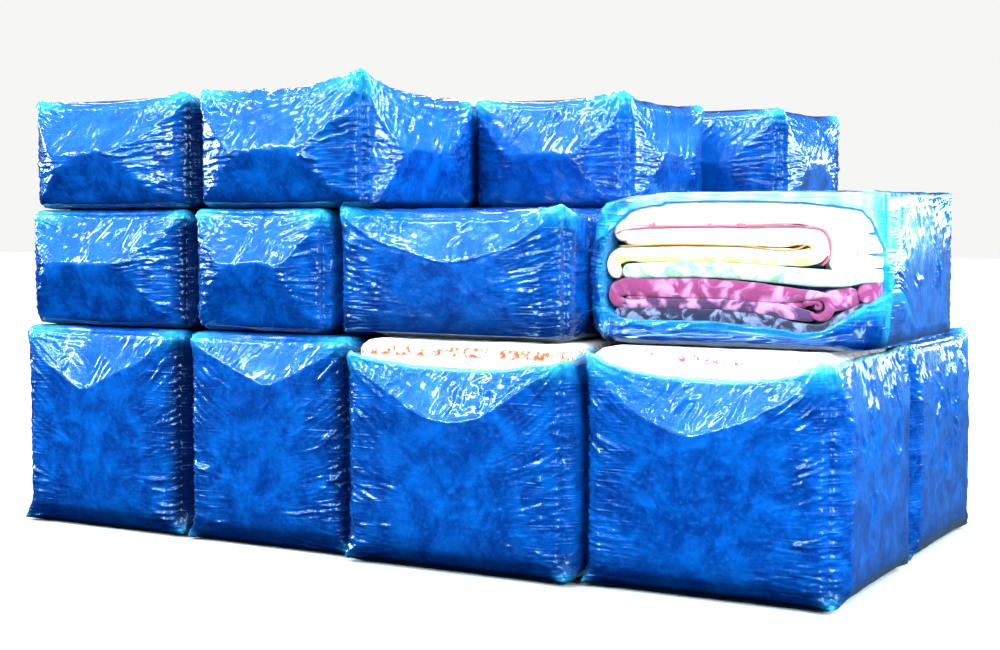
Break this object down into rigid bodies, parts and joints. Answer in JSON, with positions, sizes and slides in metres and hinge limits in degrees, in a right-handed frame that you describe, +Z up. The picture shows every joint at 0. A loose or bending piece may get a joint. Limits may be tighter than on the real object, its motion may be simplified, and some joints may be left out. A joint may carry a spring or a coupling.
{
  "type": "stack of film-wrapped blanket bales",
  "caption": "Block stack of compressed blanket bales in glossy blue translucent film, standing straight on the floor; some bags are open and show folded fleece blankets.",
  "frame": {"origin": "on the floor under the middle of the whole stack", "axes": "+Z up, +X along the front row towards its open bales, the front of the stack faces -Y"},
  "size_m": [4.5798, 3.3598, 2.24],
  "materials": {
    "film": "thin translucent blue polythene film drawn over soft blankets, glossy and finely wrinkled",
    "white_fleece": "soft brushed mink fleece, white with blossom print",
    "cream_fleece": "soft brushed mink fleece, cream",
    "mint_fleece": "soft brushed mink fleece, mint green",
    "magenta_fleece": "soft brushed mink fleece, magenta with paler patches",
    "grey_fleece": "soft brushed mink fleece, violet grey"
  },
  "bodies": {
    "root": {"bottom_front_1": "film", "bottom_front_2": "film", "bottom_centre_1": "film", "bottom_centre_2": "film", "bottom_centre_3": "film", "bottom_centre_4": "film", "bottom_rear_1": "film", "bottom_rear_2": "film", "bottom_rear_3": "film", "middle_front_1": "film", "middle_front_2": "film", "middle_front_3": "film", "middle_centre_1": "film", "middle_centre_2": "film", "middle_centre_3": "film", "middle_rear_1": "film", "middle_rear_2": "film", "middle_rear_3": "film", "top_front_1": "film", "top_front_2": "film", "top_centre_1": "film", "top_centre_2": "film", "top_centre_3": "film", "top_rear_1": "film", "top_rear_2": "film", "top_rear_3": "film", "bottom_front_3_bag": "film", "bottom_front_4_bag": "film", "middle_front_4_bag": "film", "bottom_front_3_core": "white_fleece", "bottom_front_3_blanket": "white_fleece", "bottom_front_4_core": "white_fleece", "bottom_front_4_blanket": "white_fleece", "white_blanket": "white_fleece", "cream_blanket": "cream_fleece", "mint_blanket": "mint_fleece", "magenta_blanket": "magenta_fleece", "grey_blanket": "grey_fleece"}
  },
  "joints": []
}
